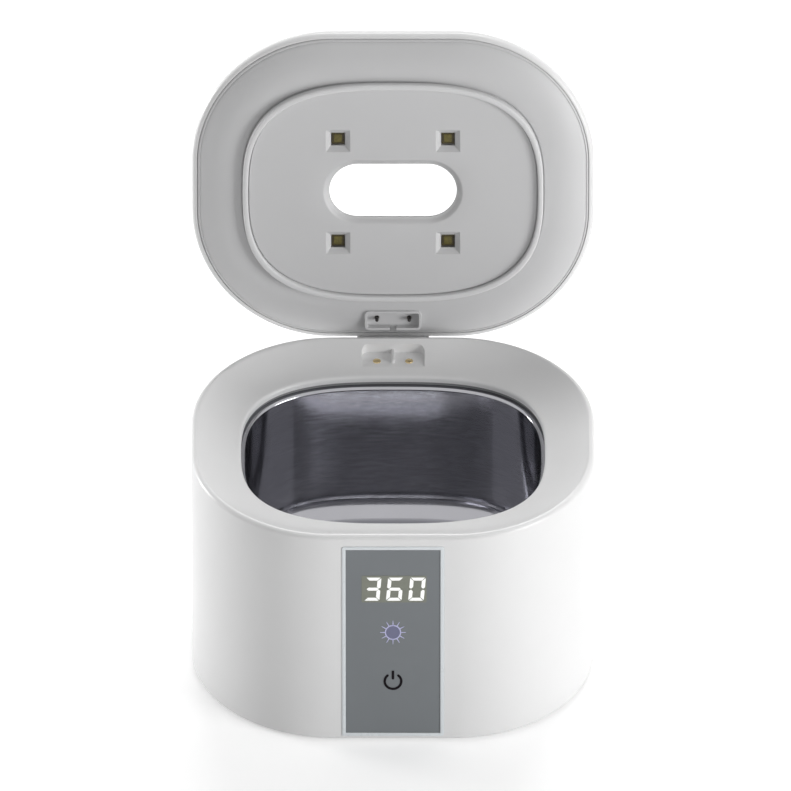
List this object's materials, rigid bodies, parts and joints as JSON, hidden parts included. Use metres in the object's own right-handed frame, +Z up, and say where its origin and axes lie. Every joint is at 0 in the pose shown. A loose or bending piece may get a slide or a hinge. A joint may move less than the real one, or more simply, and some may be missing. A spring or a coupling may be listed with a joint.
{
  "type": "pacifier sterilizer case",
  "caption": "Small white countertop case with a steel bath, an ultraviolet lid hinged at the rear and a front control panel, for cleaning pacifiers and teats.",
  "frame": {"origin": "centre of the underside of the rubber base pad, on the surface the case stands on", "axes": "+Z up; the front panel faces -Y and the hinge is at +Y; +X is to the right seen from the front; the lid is open at rest"},
  "size_m": [0.112, 0.1242, 0.158],
  "materials": {
    "case_white": "satin",
    "lid_white": "gloss",
    "liner_white": "satin",
    "tank_steel": "polished",
    "seal_grey": "matte",
    "panel_frame": "gloss",
    "panel_lens": "gloss",
    "clear_pane": "polished",
    "display": "satin",
    "board_green": "satin",
    "board_white": "satin",
    "lamp": "satin",
    "contact_gold": "polished",
    "contact_dark": "polished",
    "fixing_steel": "satin",
    "dark_plastic": "satin",
    "clamp_plastic": "matte",
    "piezo": "matte",
    "copper_wound": "matte",
    "can_aluminium": "satin",
    "sink_aluminium": "satin",
    "lead_red": "satin",
    "lead_white": "satin",
    "pad_rubber": "matte"
  },
  "bodies": {
    "case": {"case_shell": "case_white", "panel_frame": "panel_frame", "panel_lens": "panel_lens", "digit_display": "display", "display_board": "board_green", "display_screws": "fixing_steel", "touch_pad": "dark_plastic", "tank": "tank_steel", "tank_gasket": "seal_grey", "tank_clamp": "clamp_plastic", "clamp_screws": "fixing_steel", "transducer": "piezo", "transducer_leads": "lead_red", "main_board": "board_green", "board_screws": "fixing_steel", "transformer": "copper_wound", "capacitors": "can_aluminium", "heat_sink": "sink_aluminium", "board_chips": "dark_plastic", "display_cable": "lead_white", "power_inlet": "dark_plastic", "contact_block": "clamp_plastic", "contact_pads": "contact_gold", "contact_leads": "lead_red", "base_cover": "case_white", "base_screws": "fixing_steel", "base_pad": "pad_rubber", "hinge_pin": "fixing_steel"},
    "lid": {"lid_shell": "lid_white", "outer_window": "clear_pane", "lid_liner": "liner_white", "inner_window": "clear_pane", "uv_board": "board_white", "uv_lamps": "lamp", "uv_board_screws": "fixing_steel", "pin_sleeves": "contact_gold", "lid_leads": "lead_red"},
    "pin_left": {"contact_pin_left": "contact_dark"},
    "pin_right": {"contact_pin_right": "contact_dark"}
  },
  "joints": [
    {"name": "lid_hinge", "type": "hinge", "parent": "case", "child": "lid", "pos_m": [0, 0.047, 0.0676], "axis": [1, 0, 0], "range_deg": [0, 102]},
    {"name": "pin_left_slide", "type": "slide", "parent": "lid", "child": "pin_left", "axis": [0, 0.9781, -0.2079], "range_m": [0, 0.0006], "stiffness_N_per_m": 300, "springref_m": -0.0008},
    {"name": "pin_right_slide", "type": "slide", "parent": "lid", "child": "pin_right", "axis": [0, 0.9781, -0.2079], "range_m": [0, 0.0006], "stiffness_N_per_m": 300, "springref_m": -0.0008}
  ]
}
